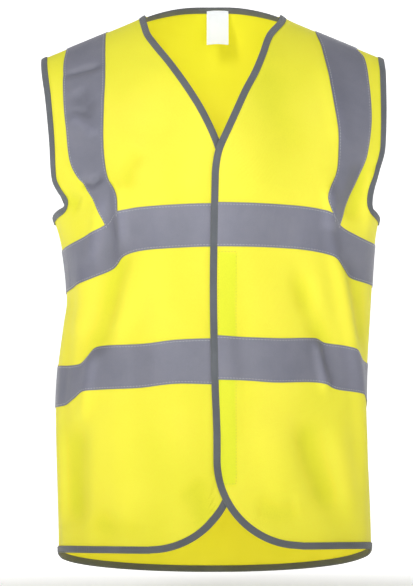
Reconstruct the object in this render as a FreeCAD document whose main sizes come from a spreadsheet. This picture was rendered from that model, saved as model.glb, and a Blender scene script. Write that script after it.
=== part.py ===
import FreeCAD, Part
import math
import os

# High visibility waistcoat, hung on the wearer's shoulders, in millimetres.
# The origin is midway between the two neck points, where the shoulder seams meet the neck edge.
# +X is the wearer's left, the wearer faces -Y, and +Z is up. Every height is measured from the neck points.

DIMENSIONS = [
    # alias, value, what it is
    ("ShoulderHalfWidth", 202.0, "centre to shoulder tip"),
    ("ShoulderDrop", 51.0, "neck point down to shoulder tip"),
    ("NeckHalfWidth", 80.0, "centre to neck point"),
    ("NeckRidgeRise", 68.0, "height that the shoulder surfaces would reach at the centre, above the neck points"),
    ("BackNeckRise", 20.0, "centre of the back neck edge above the neck points"),
    ("ChestDepth", 120.0, "half depth of the body at the chest"),
    ("HemDepth", 113.0, "half depth of the body at the hem"),
    ("ShoulderRound", 235.0, "height over which the shoulders round out to the full depth"),
    ("ShoulderPower", 1.6, "shape of that rounding"),
    ("HemHalfWidth", 182.0, "half width at the hem"),
    ("WaistHalfWidth", 179.0, "half width at the waist"),
    ("ChestHalfWidth", 192.0, "half width at the underarm"),
    ("UnderarmHeight", -240.0, "underarm point"),
    ("ChestLineHeight", -200.0, "underarm level at the centre front and back"),
    ("FrontHemHeight", -619.0, "hem at the front"),
    ("SideHemHeight", -630.0, "hem at the side seams"),
    ("BackHemHeight", -661.0, "hem at the centre back, which is cut longer"),
    ("UpperBandHeight", -257.0, "middle of the upper band at the centre"),
    ("UpperBandDrop", 40.0, "how far the upper band is lower at the side seams"),
    ("LowerBandHeight", -408.0, "middle of the lower band at the centre"),
    ("LowerBandDrop", 29.0, "how far the lower band is lower at the side seams"),
    ("TapeWidth", 50.0, "retroreflective tape"),
    ("TapeThickness", 0.5, "retroreflective tape"),
    ("TapeGap", 0.5, "air between fabric and tape"),
    ("FabricThickness", 0.9, "knitted polyester"),
    ("BindingWidth", 9.0, "folded edge binding"),
    ("BindingThickness", 0.8, "one leaf of the binding"),
    ("BindingGap", 0.65, "air between a binding leaf and the fabric"),
    ("LeftEdge", -1.0, "the left front's free edge, which lies on top"),
    ("RightEdge", 40.0, "the right front's free edge, hidden under the left front"),
    ("OverlapLift", 4.4, "how far the left front stands off the right front at the overlap"),
    ("LiftInner", 44.0, "the lift is whole up to here from the centre"),
    ("LiftOuter", 112.0, "the lift is gone from here on"),
    ("CornerRadius", 80.0, "rounded lower corner of each front"),
    ("FoldTopX", 60.0, "where a front's fold line starts, at the neckline"),
    ("FoldTopHeight", -80.0, "where a front's fold line starts, at the neckline"),
    ("FoldHemX", 125.0, "where a front's fold line meets the hem"),
    ("FoldGap", 1.2, "half the gap between a front's fixed side and its opening flap"),
    ("StripWidth", 20.0, "hook and loop strips"),
    ("StripThickness", 0.8, "hook and loop strips"),
    ("StripStart", 9.0, "inner edge of the strips from the centre"),
    ("StripTop", -287.0, "upper end of the strips"),
    ("StripBottom", -548.0, "lower end of the strips"),
    ("NeckLabelWidth", 26.0, "blank size label in the neck"),
    ("NeckLabelLength", 38.0, "blank size label in the neck"),
    ("CareLabelWidth", 32.0, "blank care label in the left side seam"),
    ("CareLabelLength", 60.0, "blank care label in the left side seam"),
    ("LabelThickness", 0.5, "woven label"),
    ("CareLabelTop", -480.0, "upper end of the care label"),
    ("SeamAllowance", 8.0, "width of the overlocked seam allowance inside"),
]

doc = FreeCAD.newDocument("high_visibility_vest")
sheet = doc.addObject("Spreadsheet::Sheet", "dimensions")
for row, (alias, value, meaning) in enumerate(DIMENSIONS, start=1):
    sheet.set("A%d" % row, alias)
    sheet.set("B%d" % row, str(value))
    sheet.set("C%d" % row, meaning)
    sheet.setAlias("B%d" % row, alias)
doc.recompute()


def dim(alias):
    """A driving dimension, read back from the sheet."""
    return float(sheet.get(alias))


# ---------------------------------------------------------------- outlines

def interpolate(pairs, at):
    """Smooth value at a place, through (place, value) pairs in rising order of place, and flat beyond them."""
    if at <= pairs[0][0]:
        return pairs[0][1]
    last = len(pairs) - 1
    for k in range(last):
        (a, low), (b, high) = pairs[k], pairs[k + 1]
        if at > b:
            continue
        before, after = pairs[max(k - 1, 0)], pairs[min(k + 2, last)]
        start = 0.0 if k == 0 else (high - before[1]) / (b - before[0]) * (b - a)
        end = 0.0 if k + 1 == last else (after[1] - low) / (after[0] - a) * (b - a)
        share = (at - a) / (b - a)
        left = 1 - share
        return (
            low * left * left * (1 + 2 * share)
            + high * share * share * (1 + 2 * left)
            + start * share * left * left
            - end * share * share * left
        )
    return pairs[-1][1]


def polyline(pairs, at):
    """Straight-line value at a place, through (place, value) pairs in rising order of place."""
    if at <= pairs[0][0]:
        return pairs[0][1]
    for (a, low), (b, high) in zip(pairs, pairs[1:]):
        if at <= b:
            return low + (high - low) * (at - a) / (b - a)
    return pairs[-1][1]


underarm = dim("UnderarmHeight")
shoulder_half = dim("ShoulderHalfWidth")
neck_half = dim("NeckHalfWidth")

# Half width of the body by height. Above the underarm it widens, so that the fronts stay open to the shoulders.
HALF_WIDTH = [
    (dim("SideHemHeight"), dim("HemHalfWidth")),
    (-345.0, dim("WaistHalfWidth")),
    (-275.0, 184.0),
    (underarm, dim("ChestHalfWidth")),
    (-200.0, 210.0),
    (-150.0, 231.0),
    (-50.0, 255.0),
]
HALF_DEPTH = [(dim("SideHemHeight"), dim("HemDepth")), (-260.0, dim("ChestDepth"))]

# Distance of the armhole edge from the centre by height, from where it turns under the arm to the shoulder tip.
ARMHOLE = [
    (-236.0, 180.0),
    (-228.0, 177.0),
    (-212.0, 179.0),
    (-190.0, 187.0),
    (-150.0, 194.0),
    (-100.0, 198.0),
    (-dim("ShoulderDrop"), shoulder_half),
]
# The front neck edges by height, which run down into each front's free edge.
NECKLINE = {
    "left": [(-200.0, dim("LeftEdge")), (-157.0, 12.0), (-111.0, 32.0), (-60.0, 55.0), (0.0, neck_half)],
    "right": [
        (-250.0, -dim("RightEdge")),
        (-205.0, -29.0),
        (-161.0, -9.0),
        (-128.0, 7.0),
        (-80.0, 38.0),
        (-27.0, 70.0),
        (0.0, neck_half),
    ],
}


def half_width(height):
    return interpolate(HALF_WIDTH, height)


RIDGE_ROUNDING = 16.0


def ridge(across):
    """Height of the line along which front and back meet over the shoulder, rounded at the centre."""
    outside = dim("ShoulderDrop") / (shoulder_half - neck_half)
    inside = dim("NeckRidgeRise") / neck_half
    rounded = math.hypot(across, RIDGE_ROUNDING) - math.hypot(neck_half, RIDGE_ROUNDING) + neck_half
    blend = 6.0
    lift = blend * math.log1p(math.exp((neck_half - rounded) / blend))
    return -outside * (rounded - neck_half) + (inside - outside) * lift


def rounding(below):
    """Share of the full depth at a distance below the ridge."""
    share = min(max(below / dim("ShoulderRound"), 0.0), 1.0)
    power = dim("ShoulderPower")
    return (1 - (1 - share) ** power) ** (1 / power)


def surface(across, height, face):
    """Point of the middle of the fabric: face is -1 for the front and 1 for the back."""
    share = min(abs(across) / half_width(height), 1.0)
    depth = interpolate(HALF_DEPTH, height) * math.sqrt(1 - share * share)
    return FreeCAD.Vector(across, face * depth * rounding(ridge(across) - height), height)


def around(angle, height, face):
    """The same by the angle round the body: 0 at the centre and 90 degrees at the side seam."""
    across = half_width(height) * math.sin(angle)
    depth = interpolate(HALF_DEPTH, height) * math.cos(angle)
    return FreeCAD.Vector(across, face * depth * rounding(ridge(across) - height), height)


def angle_of(across, height):
    share = min(max(across / half_width(height), -1.0), 1.0)
    return math.asin(share)


def hem(angle, face):
    side = dim("SideHemHeight")
    if face < 0:
        return side + (dim("FrontHemHeight") - side) * math.cos(angle) ** 0.5
    return side + (dim("BackHemHeight") - side) * math.cos(angle) ** 0.6


def chest_line(angle):
    return dim("ChestLineHeight") + (underarm - dim("ChestLineHeight")) * (1 - math.cos(angle))


def band_line(level, angle):
    """Middle height of a band round the body."""
    return dim(level + "BandHeight") - dim(level + "BandDrop") * (1 - math.cos(angle))


def fold_line(height):
    """Distance of the fold line from the centre, by height."""
    top, low = dim("FoldTopHeight"), dim("FrontHemHeight")
    return dim("FoldTopX") + (dim("FoldHemX") - dim("FoldTopX")) * (top - height) / (top - low)


def free_edge(height, side):
    """Distance of a front's free edge from the centre, neckline included, positive towards its own side."""
    start = polyline(NECKLINE[side], height)
    radius = dim("CornerRadius")
    above_hem = height - dim("FrontHemHeight")
    if above_hem < radius:
        start += radius - math.sqrt(max(radius**2 - (radius - above_hem) ** 2, 0.0))
    return start


# ---------------------------------------------------------------- thin solids

def slopes(angle, height, face):
    """How a point of the surface moves with the angle round the body, and with the height."""
    step = 0.001
    across = around(angle + step, height, face) - around(angle - step, height, face)
    up = around(angle, height + step, face) - around(angle, height - step, face)
    return across * (0.5 / step), up * (0.5 / step)


def normal_at(point):
    """Outward unit normal of the body at a point of it."""
    angle = angle_of(point.x, point.z)
    face = -1 if point.y < 0 else 1
    across, up = slopes(angle, point.z, face)
    normal = across.cross(up) * -face
    normal.normalize()
    return normal


def normals(rows):
    return [[normal_at(point) for point in row] for row in rows]


def curve(points):
    """A smooth line through the points, whose parameter is the point's number."""
    spline = Part.BSplineCurve()
    spline.interpolate(Points=points, Parameters=[float(k) for k in range(len(points))])
    return spline


def ruled(first, second):
    """The face of straight lines between two smooth lines with the same number of points."""
    face = Part.BSplineSurface()
    poles = [first.getPoles(), second.getPoles()]
    knots = first.getKnots()
    turns = first.getMultiplicities()
    face.buildFromPolesMultsKnots(poles, [2, 2], turns, [0, 1], knots, False, False, 1, first.Degree)
    return face.toShape()


def solid_of(faces):
    """One closed solid from faces that share their edges."""
    shell = Part.makeShell(faces)
    shell.sewShape(0.001)
    solid = Part.makeSolid(shell)
    if solid.Volume < 0:
        solid.reverse()
    return solid


def patch(a, b, c, d):
    """The straight-lined face between the edges a-b and c-d."""
    flat = Part.BSplineSurface()
    flat.buildFromPolesMultsKnots([[a, b], [c, d]], [2, 2], [2, 2], [0, 1], [0, 1], False, False, 1, 1)
    return flat.toShape()


def cloth(rows, low, high):
    """A thin solid over a grid of points, from low to high along its outward normals."""
    tops = []
    bottoms = []
    for row, line in zip(rows, normals(rows)):
        tops.append([p + n * high for p, n in zip(row, line)])
        bottoms.append([p + n * low for p, n in zip(row, line)])
    faces = []
    for side in (tops, bottoms):
        curves = [curve(points) for points in side]
        faces += [ruled(a, b) for a, b in zip(curves, curves[1:])]
    for end in (0, -1):
        faces.append(ruled(curve(tops[end]), curve(bottoms[end])))
        for k in range(len(rows) - 1):
            faces.append(patch(tops[k][end], bottoms[k][end], tops[k + 1][end], bottoms[k + 1][end]))
    return solid_of(faces)


def binding(path, fold):
    """A folded edge binding: a U round the edge of the fabric, open towards the fabric.
    path gives, for each step, the edge point and the point one binding width inside it."""
    leaf = dim("FabricThickness") / 2 + dim("BindingGap")
    outer = leaf + dim("BindingThickness")
    sections = []
    for (edge, inner), (normal, inner_normal) in zip(path, normals(path)):
        out = edge - inner
        out.normalize()
        section = [
            edge + normal * outer,
            inner + inner_normal * outer,
            inner + inner_normal * leaf,
            edge - out * fold + normal * leaf,
            edge - out * fold - normal * leaf,
            inner - inner_normal * leaf,
            inner - inner_normal * outer,
            edge - normal * outer,
        ]
        sections.append(section + section[:1])
    faces = []
    for low, high in zip(sections, sections[1:]):
        for k in range(8):
            faces.append(patch(low[k], low[k + 1], high[k], high[k + 1]))
    for section in (sections[0], sections[-1]):
        for a, b, c, d in ((0, 1, 3, 2), (0, 3, 7, 4), (7, 6, 4, 5)):
            faces.append(patch(section[a], section[b], section[c], section[d]))
    return solid_of(faces)


def even(start, end, count):
    """count values from start to end, evenly spaced."""
    return [start + (end - start) * k / (count - 1) for k in range(count)]


# ---------------------------------------------------------------- grids over the body

COLUMNS = 9
BODY_ROWS = 20
YOKE_ROWS = 26
NEAR_RIDGE = 0.012  # where the shoulder edges of front and back stop, as a share of the yoke
SEAM_ANGLE = math.pi / 2 - 0.002  # front and back meet here at the side seams


def at_level(across, angle, share):
    """Height on a level of the yoke: share is 0 at the shoulder ridge and 1 at the chest line."""
    whole = ridge(across) - chest_line(angle)
    return ridge(across) - whole * share ** dim("ShoulderPower")


def yoke_height(across, share):
    """The same at a distance from the centre."""
    height = dim("ChestLineHeight")
    for _ in range(30):
        height = (height + at_level(across, angle_of(abs(across), height), share)) / 2
    return height


def place(angle, share):
    """Distance from the centre and height, at an angle round the body, on a level of the yoke."""
    height = chest_line(abs(angle))
    for _ in range(40):
        across = half_width(height) * math.sin(angle)
        height = (height + at_level(across, abs(angle), share)) / 2
    return half_width(height) * math.sin(angle), height


def settle(edge, share):
    """The place where a side edge, given by height, crosses a level of the yoke."""
    across = edge(-100.0)
    for _ in range(60):
        across = (across + edge(yoke_height(across, share))) / 2
    return across


def armhole(height):
    return polyline(ARMHOLE, height)


ARMHOLE_TURN = 0.985  # level of the yoke at which the armhole turns in under the arm
CUT_LEVELS = 0.0052  # levels of the yoke by which the fabric's cut edge is lower there


def edge_angle(share):
    """Angle round the body of the armhole edge, by the level of the yoke."""
    level_used = min(share, ARMHOLE_TURN)
    across = settle(armhole, level_used)
    angle = angle_of(across, yoke_height(across, level_used))
    part = min(max((share - ARMHOLE_TURN) / (1 - ARMHOLE_TURN), 0.0), 1.0)
    return angle + (SEAM_ANGLE - angle) * part


def cut_angle(share):
    """The same for the fabric's own edge, inside the binding."""
    across, height = place(edge_angle(share - CUT_LEVELS), share)
    part = min(max((1 - share) / 0.03, 0.0), 1.0)
    return min(angle_of(across - trim * part, height), SEAM_ANGLE)


def fine_shares(start):
    """Levels of the yoke from a start near 1 up to the ridge, close together where the armhole turns."""
    turn = even(start, start - 1 + ARMHOLE_TURN, 9)
    return turn + even(turn[-1] - 0.02, NEAR_RIDGE, YOKE_ROWS)


def shares(top=NEAR_RIDGE):
    return even(1.0, top, YOKE_ROWS)


def yoke_row(start, end, share, face, sign, columns=COLUMNS):
    """One row of the yoke, between two angles round the body."""
    row = []
    for angle in even(start, end, columns):
        across, height = place(angle, share)
        row.append(surface(sign * across, height, face))
    return row


def edge_turn(edge, share):
    """Angle round the body at which a level of the yoke meets an edge that is given by height."""
    across = settle(edge, share)
    return angle_of(across, yoke_height(across, share))


def level(angle, share, face):
    """Height at a level of the body: share is 0 at the hem and 1 at the chest line."""
    low = hem(angle, face)
    return low + (chest_line(angle) - low) * share


def body_row(inner, share, sign, columns=COLUMNS):
    """One row of a front's fixed side, from an inner edge given by height to the side seam."""
    start = 0.3
    for _ in range(60):
        start = angle_of(inner(level(start, share, -1)), level(start, share, -1))
    row = []
    for angle in even(start, SEAM_ANGLE, columns):
        point = around(angle, level(angle, share, -1), -1)
        row.append(FreeCAD.Vector(sign * point.x, point.y, point.z))
    return row


def lifted(rows, side):
    """The left front lies on top of the right one, so it stands off it near the centre."""
    if side == "right":
        return rows
    spread = [(dim("LiftInner"), dim("OverlapLift")), (dim("LiftOuter"), 0.0)]
    return [[p - FreeCAD.Vector(0, interpolate(spread, p.x), 0) for p in row] for row in rows]


SIGN = {"left": 1, "right": -1}
trim = dim("BindingThickness") * 2  # the fabric's edge stops this far inside the finished edge


def below_fold(height):
    return fold_line(height) + dim("FoldGap")


def inner_angle(side, share):
    """Inner edge of a front's fixed side in the yoke: the fold line below, the neckline above it."""
    across = settle(below_fold, share)
    if yoke_height(across, share) < dim("FoldTopHeight"):
        return edge_turn(below_fold, share)
    return edge_turn(lambda height: polyline(NECKLINE[side], height) + trim, share)


def front_side(side):
    rows = [body_row(below_fold, share, SIGN[side]) for share in even(0.004, 0.96, BODY_ROWS)]

    for share in fine_shares(1 + CUT_LEVELS):
        start = inner_angle(side, share)
        rows.append(yoke_row(start, cut_angle(share), share, -1, SIGN[side]))
    return lifted(rows, side)


def flap_heights():
    """Heights of the rows of an opening front, close together round its lower corner."""
    low = dim("FrontHemHeight")
    radius = dim("CornerRadius")
    corner = [low + radius * (1 - math.cos(a)) for a in even(0.25, math.pi / 2, 13)]
    return corner + even(low + radius + 10.0, dim("FoldTopHeight") - 6.0, 45)


def front_flap(side):
    rows = []
    for height in flap_heights():
        start = max(free_edge(height - trim, side), free_edge(height + trim, side)) + trim
        end = fold_line(height) - dim("FoldGap")
        row = [surface(SIGN[side] * x, height, -1) for x in even(start, end, 13)]
        rows.append(row)
    return lifted(rows, side)


def back_top(across):
    """Top edge of the back: the back neck edge between the neck points, then the shoulders."""
    if abs(across) < neck_half:
        return dim("BackNeckRise") * (1 - (across / neck_half) ** 2)
    return ridge(across)


def back_panel():
    """The back in one piece, from side seam to side seam."""
    columns = 41
    rows = []
    for share in even(0.004, 0.96, BODY_ROWS):
        angles = even(-SEAM_ANGLE, SEAM_ANGLE, columns)
        rows.append([around(a, level(abs(a), share, 1), 1) for a in angles])
    for share in fine_shares(1 + CUT_LEVELS):
        edge = cut_angle(share)
        row = []
        for turn in even(-edge, edge, columns):
            across, height = place(turn, share)
            whole = ridge(across) - chest_line(abs(turn))
            cut = max(ridge(across) - back_top(across) + trim, 0.0) / whole
            start = max(cut ** (1 / dim("ShoulderPower")), NEAR_RIDGE)
            placed = start + (1 - start) * (share - NEAR_RIDGE) / (1 - NEAR_RIDGE)
            row.append(surface(across, at_level(across, abs(turn), placed), 1))
        rows.append(row)
    return rows


def tape_lines():
    return even(-dim("TapeWidth") / 2, dim("TapeWidth") / 2, 5)


def band_rows(level_name, face, angles):
    rows = []
    for off in tape_lines():
        rows.append([around(a, band_line(level_name, abs(a)) + off, face) for a in angles])
    return rows


def band_angle(level_name, across, off=0.0):
    """The angle at which a band is a given distance from the centre."""
    angle = 0.3
    for _ in range(40):
        angle = angle_of(across, band_line(level_name, angle) + off)
    return angle


def band_side(level_name, side):
    """A band on a front's fixed side, from the fold line to the side seam."""
    rows = []
    for off in tape_lines():
        angle = 0.3
        for _ in range(40):
            height = band_line(level_name, angle) + off
            angle = angle_of(fold_line(height) + dim("FoldGap"), height)
        row = []
        for a in even(angle, SEAM_ANGLE, COLUMNS):
            point = around(a, band_line(level_name, a) + off, -1)
            row.append(FreeCAD.Vector(SIGN[side] * point.x, point.y, point.z))
        rows.append(row)
    return lifted(rows, side)


def band_flap(level_name, side):
    """A band on an opening front, from its binding, or the loop strip, to the fold line."""
    rows = []
    # On the right front the loop strip lies beside the free edge, and the band stops at it.
    inner = dim("LeftEdge") + dim("BindingWidth") + 1.0 if side == "left" else 1.0 - dim("StripStart")
    for off in tape_lines():
        height = band_line(level_name, 0.2) + off
        end = fold_line(height) - dim("FoldGap")
        row = []
        for across in even(inner, end, 6):
            angle = angle_of(across, height)
            row.append(surface(SIGN[side] * across, band_line(level_name, angle) + off, -1))
        rows.append(row)
    return lifted(rows, side)


# A brace's inner edge by height on the body, and its width seen from the front.
BRACE_INNER = [(-240.0, 116.0), (-218.0, 118.0), (-190.0, 131.0), (-150.0, 133.0), (-100.0, 131.0), (-20.0, 123.0)]
BRACE_WIDTH = [(-240.0, 26.0), (-190.0, 40.0), (-150.0, 43.0), (-100.0, 44.0), (-20.0, 47.0)]


def brace(side, face):
    """A brace on the front or the back, from the upper band's edge up to the shoulder."""

    def inner(height):
        return polyline(BRACE_INNER, height)

    def outer(height):
        return inner(height) + polyline(BRACE_WIDTH, height)

    lowest = band_line("Upper", band_angle("Upper", 130.0)) + dim("TapeWidth") / 2 + 1.5
    rows = []
    for share in shares():
        row = yoke_row(edge_turn(inner, share), edge_turn(outer, share), share, face, SIGN[side], 5)
        if min(p.z for p in row) > lowest:
            rows.append(row)
    foot = []
    for point in rows[0]:
        height = band_line("Upper", angle_of(abs(point.x), lowest)) + dim("TapeWidth") / 2 + 1.0
        foot.append(min(height, point.z - 4.0))
    extra = []
    for part in (0.0, 0.33, 0.67):
        heights = [low + (p.z - low) * part for low, p in zip(foot, rows[0])]
        extra.append([surface(p.x, low, face) for low, p in zip(heights, rows[0])])
    rows = extra + rows
    return lifted(rows, side) if face < 0 else rows


# ---------------------------------------------------------------- binding paths

def inset(path, face, turn):
    """For each (angle, height) along an edge, the edge point and the point one binding width inside it.
    turn is 1 or -1, for the fabric on one side of the path or the other."""
    points = [around(angle, height, face) for angle, height in path]
    pairs = []
    for k, (angle, height) in enumerate(path):
        along = points[min(k + 1, len(points) - 1)] - points[max(k - 1, 0)]
        across, up = slopes(angle, height, face)
        inward = along.cross(across.cross(up))
        inward.normalize()
        inward = inward * (turn * dim("BindingWidth"))
        a, b, c = across.dot(across), across.dot(up), up.dot(up)
        p, q = inward.dot(across), inward.dot(up)
        scale = a * c - b * b
        moved = (angle + (c * p - b * q) / scale, height + (a * q - b * p) / scale)
        pairs.append([points[k], around(moved[0], moved[1], face)])
    return pairs


def mirrored(rows, sign):
    """Rows made on the left side, for the side given."""
    return [[FreeCAD.Vector(sign * p.x, p.y, p.z) for p in row] for row in rows]


def armhole_path(side, face):
    path = []
    for share in fine_shares(1.0):
        angle = edge_angle(share)
        path.append((angle, place(angle, share)[1]))
    return mirrored(inset(path, face, face), SIGN[side])


def neck_path(side):
    """Front neck binding on the fixed side, from the fold line up to the neck point."""
    path = []
    for share in shares():
        edge = settle(lambda height: polyline(NECKLINE[side], height), share)
        if yoke_height(edge, share) < dim("FoldTopHeight") + 2.0:
            continue
        row = []
        for across in (edge, edge + dim("BindingWidth")):
            row.append(surface(SIGN[side] * across, yoke_height(across, share), -1))
        path.append(row)
    return lifted(path, side)


def back_neck_path():
    path = []
    for across in even(4.0 - neck_half, neck_half - 4.0, 33):
        height = back_top(across)
        path.append((angle_of(across, height), height))
    return inset(path, 1, 1)


def front_edge_path(side):
    """Binding of an opening front: neckline, free edge, rounded corner."""
    path = []
    heights = flap_heights()
    points = [FreeCAD.Vector(SIGN[side] * free_edge(h, side), 0, h) for h in heights]
    for k, point in enumerate(points):
        along = points[min(k + 1, len(points) - 1)] - points[max(k - 1, 0)]
        along.normalize()
        inward = FreeCAD.Vector(SIGN[side] * along.z, 0, -SIGN[side] * along.x)
        inner = point + inward * dim("BindingWidth")
        path.append([surface(point.x, point.z, -1), surface(inner.x, inner.z, -1)])
    return lifted(path, side)


def hem_path(face, angles, sign=1):
    path = []
    for angle in angles:
        low = hem(abs(angle), face)
        row = []
        for height in (low, low + dim("BindingWidth")):
            point = around(angle, height, face)
            row.append(FreeCAD.Vector(sign * point.x, point.y, point.z))
        path.append(row)
    return path


# ---------------------------------------------------------------- sub-parts

made = []


def keep(shape, label):
    """A sub-part whose shape comes from the grids above."""
    piece = doc.addObject("Part::Feature", label)
    piece.Shape = shape
    piece.Label = label
    piece.Placement = FreeCAD.Placement()
    made.append(piece)
    return piece


half = dim("FabricThickness") / 2
tape_low = half + dim("TapeGap")
tape_high = tape_low + dim("TapeThickness")
strip_low = half + 0.25
strip_high = strip_low + dim("StripThickness")
fold = dim("BindingThickness")  # thickness of the binding where it folds round the edge

keep(cloth(back_panel(), -half, half), "back_panel")
for name in ("left", "right"):
    keep(cloth(front_side(name), -half, half), name + "_front_side")
    keep(cloth(front_flap(name), -half, half), name + "_front_flap")
    for band in ("Upper", "Lower"):
        keep(cloth(band_side(band, name), tape_low, tape_high), "%s_band_%s_side" % (band.lower(), name))
        keep(cloth(band_flap(band, name), tape_low, tape_high), "%s_band_%s_flap" % (band.lower(), name))
    keep(cloth(brace(name, -1), tape_low, tape_high), name + "_brace_front")
    keep(cloth(brace(name, 1), tape_low, tape_high), name + "_brace_back")
    keep(binding(armhole_path(name, -1), fold), name + "_armhole_binding_front")
    keep(binding(armhole_path(name, 1), fold), name + "_armhole_binding_back")
    keep(binding(neck_path(name), fold), name + "_neck_binding")
    keep(binding(front_edge_path(name), fold), name + "_front_edge_binding")
for band in ("Upper", "Lower"):
    turns = even(-SEAM_ANGLE, SEAM_ANGLE, 21)
    keep(cloth(band_rows(band, 1, turns), tape_low, tape_high), band.lower() + "_band_back")
keep(binding(back_neck_path(), fold), "back_neck_binding")
keep(binding(hem_path(1, even(-SEAM_ANGLE, SEAM_ANGLE, 61)), fold), "back_hem_binding")
for name in ("left", "right"):
    first = angle_of(dim("FoldHemX") + dim("FoldGap"), dim("FrontHemHeight"))
    keep(binding(hem_path(-1, even(first, SEAM_ANGLE, 21), SIGN[name]), fold), name + "_hem_binding")


def strip(side, low, high):
    rows = []
    for height in even(dim("StripBottom"), dim("StripTop"), 9):
        start = dim("StripStart")
        end = start + dim("StripWidth")
        rows.append([surface(x, height, -1) for x in even(start, end, 3)])
    return cloth(lifted(rows, side), low, high)


keep(strip("left", -strip_high, -strip_low), "hook_strip")
keep(strip("right", strip_low, strip_high), "loop_strip")


def seam_strip(points, label):
    """An overlocked seam allowance, standing inwards from a seam."""
    wires = []
    for outer_point, inner_point, thick in points:
        section = [outer_point - thick, inner_point - thick, inner_point + thick, outer_point + thick]
        wires.append(Part.makePolygon(section + section[:1]))
    keep(Part.makeLoft(wires, True, True), label)


def side_seam(side):
    points = []
    for height in even(dim("SideHemHeight") + 12.0, underarm - 14.0, 9):
        outer_x = half_width(height) - half - 1.2
        thick = FreeCAD.Vector(0, 0.6, 0)
        start = FreeCAD.Vector(SIGN[side] * outer_x, 0, height)
        end = FreeCAD.Vector(SIGN[side] * (outer_x - dim("SeamAllowance")), 0, height)
        points.append((start, end, thick))
    seam_strip(points, side + "_side_seam")


def shoulder_seam(side):
    points = []
    for across in even(neck_half + 12.0, shoulder_half - 12.0, 6):
        top = ridge(across) - half - 0.6
        thick = FreeCAD.Vector(0, 0.6, 0)
        start = FreeCAD.Vector(SIGN[side] * across, 0, top)
        end = start - FreeCAD.Vector(0, 0, dim("SeamAllowance"))
        points.append((start, end, thick))
    seam_strip(points, side + "_shoulder_seam")


for name in ("left", "right"):
    side_seam(name)
    shoulder_seam(name)


def label_box(label, width, length, place):
    """A blank label, hanging from the middle of its top edge or standing out from a seam."""
    box = doc.addObject("Part::Box", label)
    box.Label = label
    box.setExpression("Length", "dimensions." + width)
    box.setExpression("Width", "dimensions.LabelThickness")
    box.setExpression("Height", "dimensions." + length)
    box.Placement = place
    made.append(box)
    return box


NECK_LABEL_AT = (-7.0, 34.0, -27.0)
neck_place = FreeCAD.Placement(FreeCAD.Vector(*NECK_LABEL_AT), FreeCAD.Rotation())
label_box("neck_label", "NeckLabelWidth", "NeckLabelLength", neck_place)

# The care label starts beside the left side seam and lies along the inside of the back.
care_turn = FreeCAD.Rotation(FreeCAD.Vector(0, 0, 1), 104.0)
care_low = dim("CareLabelTop") - dim("CareLabelLength")
care_place = FreeCAD.Placement(FreeCAD.Vector(176.0, 4.0, care_low), care_turn)
label_box("care_label", "CareLabelWidth", "CareLabelLength", care_place)

# ---------------------------------------------------------------- checks and files

doc.recompute()
for item in doc.Objects:
    if "Invalid" in item.State or "Error" in item.State:
        raise RuntimeError("%s failed: %s" % (item.Name, item.State))
for piece in made:
    shape = piece.Shape
    if shape.isNull() or not shape.isValid() or not shape.Solids:
        raise RuntimeError("%s has no valid solid" % piece.Label)
    if shape.Volume < 0:
        shape.reverse()
        piece.Shape = shape

os.makedirs("parts", exist_ok=True)
for piece in made:
    piece.Shape.exportStep("parts/%s.step" % piece.Label)
    size = piece.Shape.BoundBox
    print("%-28s %9.1f mm3  %6.1f x %6.1f x %6.1f" % (
        piece.Label, piece.Shape.Volume, size.XLength, size.YLength, size.ZLength))
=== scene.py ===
import math

import bpy
import numpy as np
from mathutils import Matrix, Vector


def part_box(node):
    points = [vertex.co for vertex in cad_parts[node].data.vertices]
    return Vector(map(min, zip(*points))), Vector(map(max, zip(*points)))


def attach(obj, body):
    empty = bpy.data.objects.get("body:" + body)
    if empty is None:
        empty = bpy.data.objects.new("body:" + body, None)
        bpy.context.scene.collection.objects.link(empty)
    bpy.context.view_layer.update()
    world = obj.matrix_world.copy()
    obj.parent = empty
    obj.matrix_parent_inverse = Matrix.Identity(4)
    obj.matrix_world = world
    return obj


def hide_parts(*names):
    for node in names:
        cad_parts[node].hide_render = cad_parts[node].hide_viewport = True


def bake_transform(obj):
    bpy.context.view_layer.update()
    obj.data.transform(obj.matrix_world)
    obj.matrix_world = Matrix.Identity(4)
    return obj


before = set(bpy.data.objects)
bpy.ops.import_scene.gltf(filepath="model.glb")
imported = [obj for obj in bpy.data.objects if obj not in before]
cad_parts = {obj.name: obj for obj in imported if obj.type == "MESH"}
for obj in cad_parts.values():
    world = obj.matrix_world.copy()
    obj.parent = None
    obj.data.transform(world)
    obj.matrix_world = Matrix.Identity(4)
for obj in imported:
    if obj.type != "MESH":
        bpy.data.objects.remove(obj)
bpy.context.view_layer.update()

# High visibility vest, in metres. The origin is midway between the two neck points.
# +X is the wearer's left, the wearer faces -Y, and +Z is up. The body form repeats the CAD's formulas
# and values. The outlines of the fronts, tapes and folds follow the photograph.

LEFT, RIGHT = 1, -1
FRONT, BACK = -1, 1
SEAM = math.pi / 2 - 0.001        # angle of the side seams round the form


# ---------------- lines by place

def smooth(pairs, at):
    """Smooth value at a place, through (place, value) pairs in rising order, flat beyond them."""
    xs = np.array([p[0] for p in pairs], float)
    ys = np.array([p[1] for p in pairs], float)
    slope = np.zeros(len(xs))
    slope[1:-1] = (ys[2:] - ys[:-2]) / (xs[2:] - xs[:-2])
    k = np.clip(np.searchsorted(xs, at) - 1, 0, len(xs) - 2)
    width = xs[k + 1] - xs[k]
    t = np.clip((at - xs[k]) / width, 0, 1)
    r = 1 - t
    return (ys[k] * r * r * (1 + 2 * t) + ys[k + 1] * t * t * (1 + 2 * r)
            + slope[k] * width * t * r * r - slope[k + 1] * width * t * t * r)


def step(x, low, high):
    """0 below low, 1 above high, and a smooth rise between them."""
    t = np.clip((x - low) / (high - low), 0, 1)
    return t * t * (3 - 2 * t)


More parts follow.
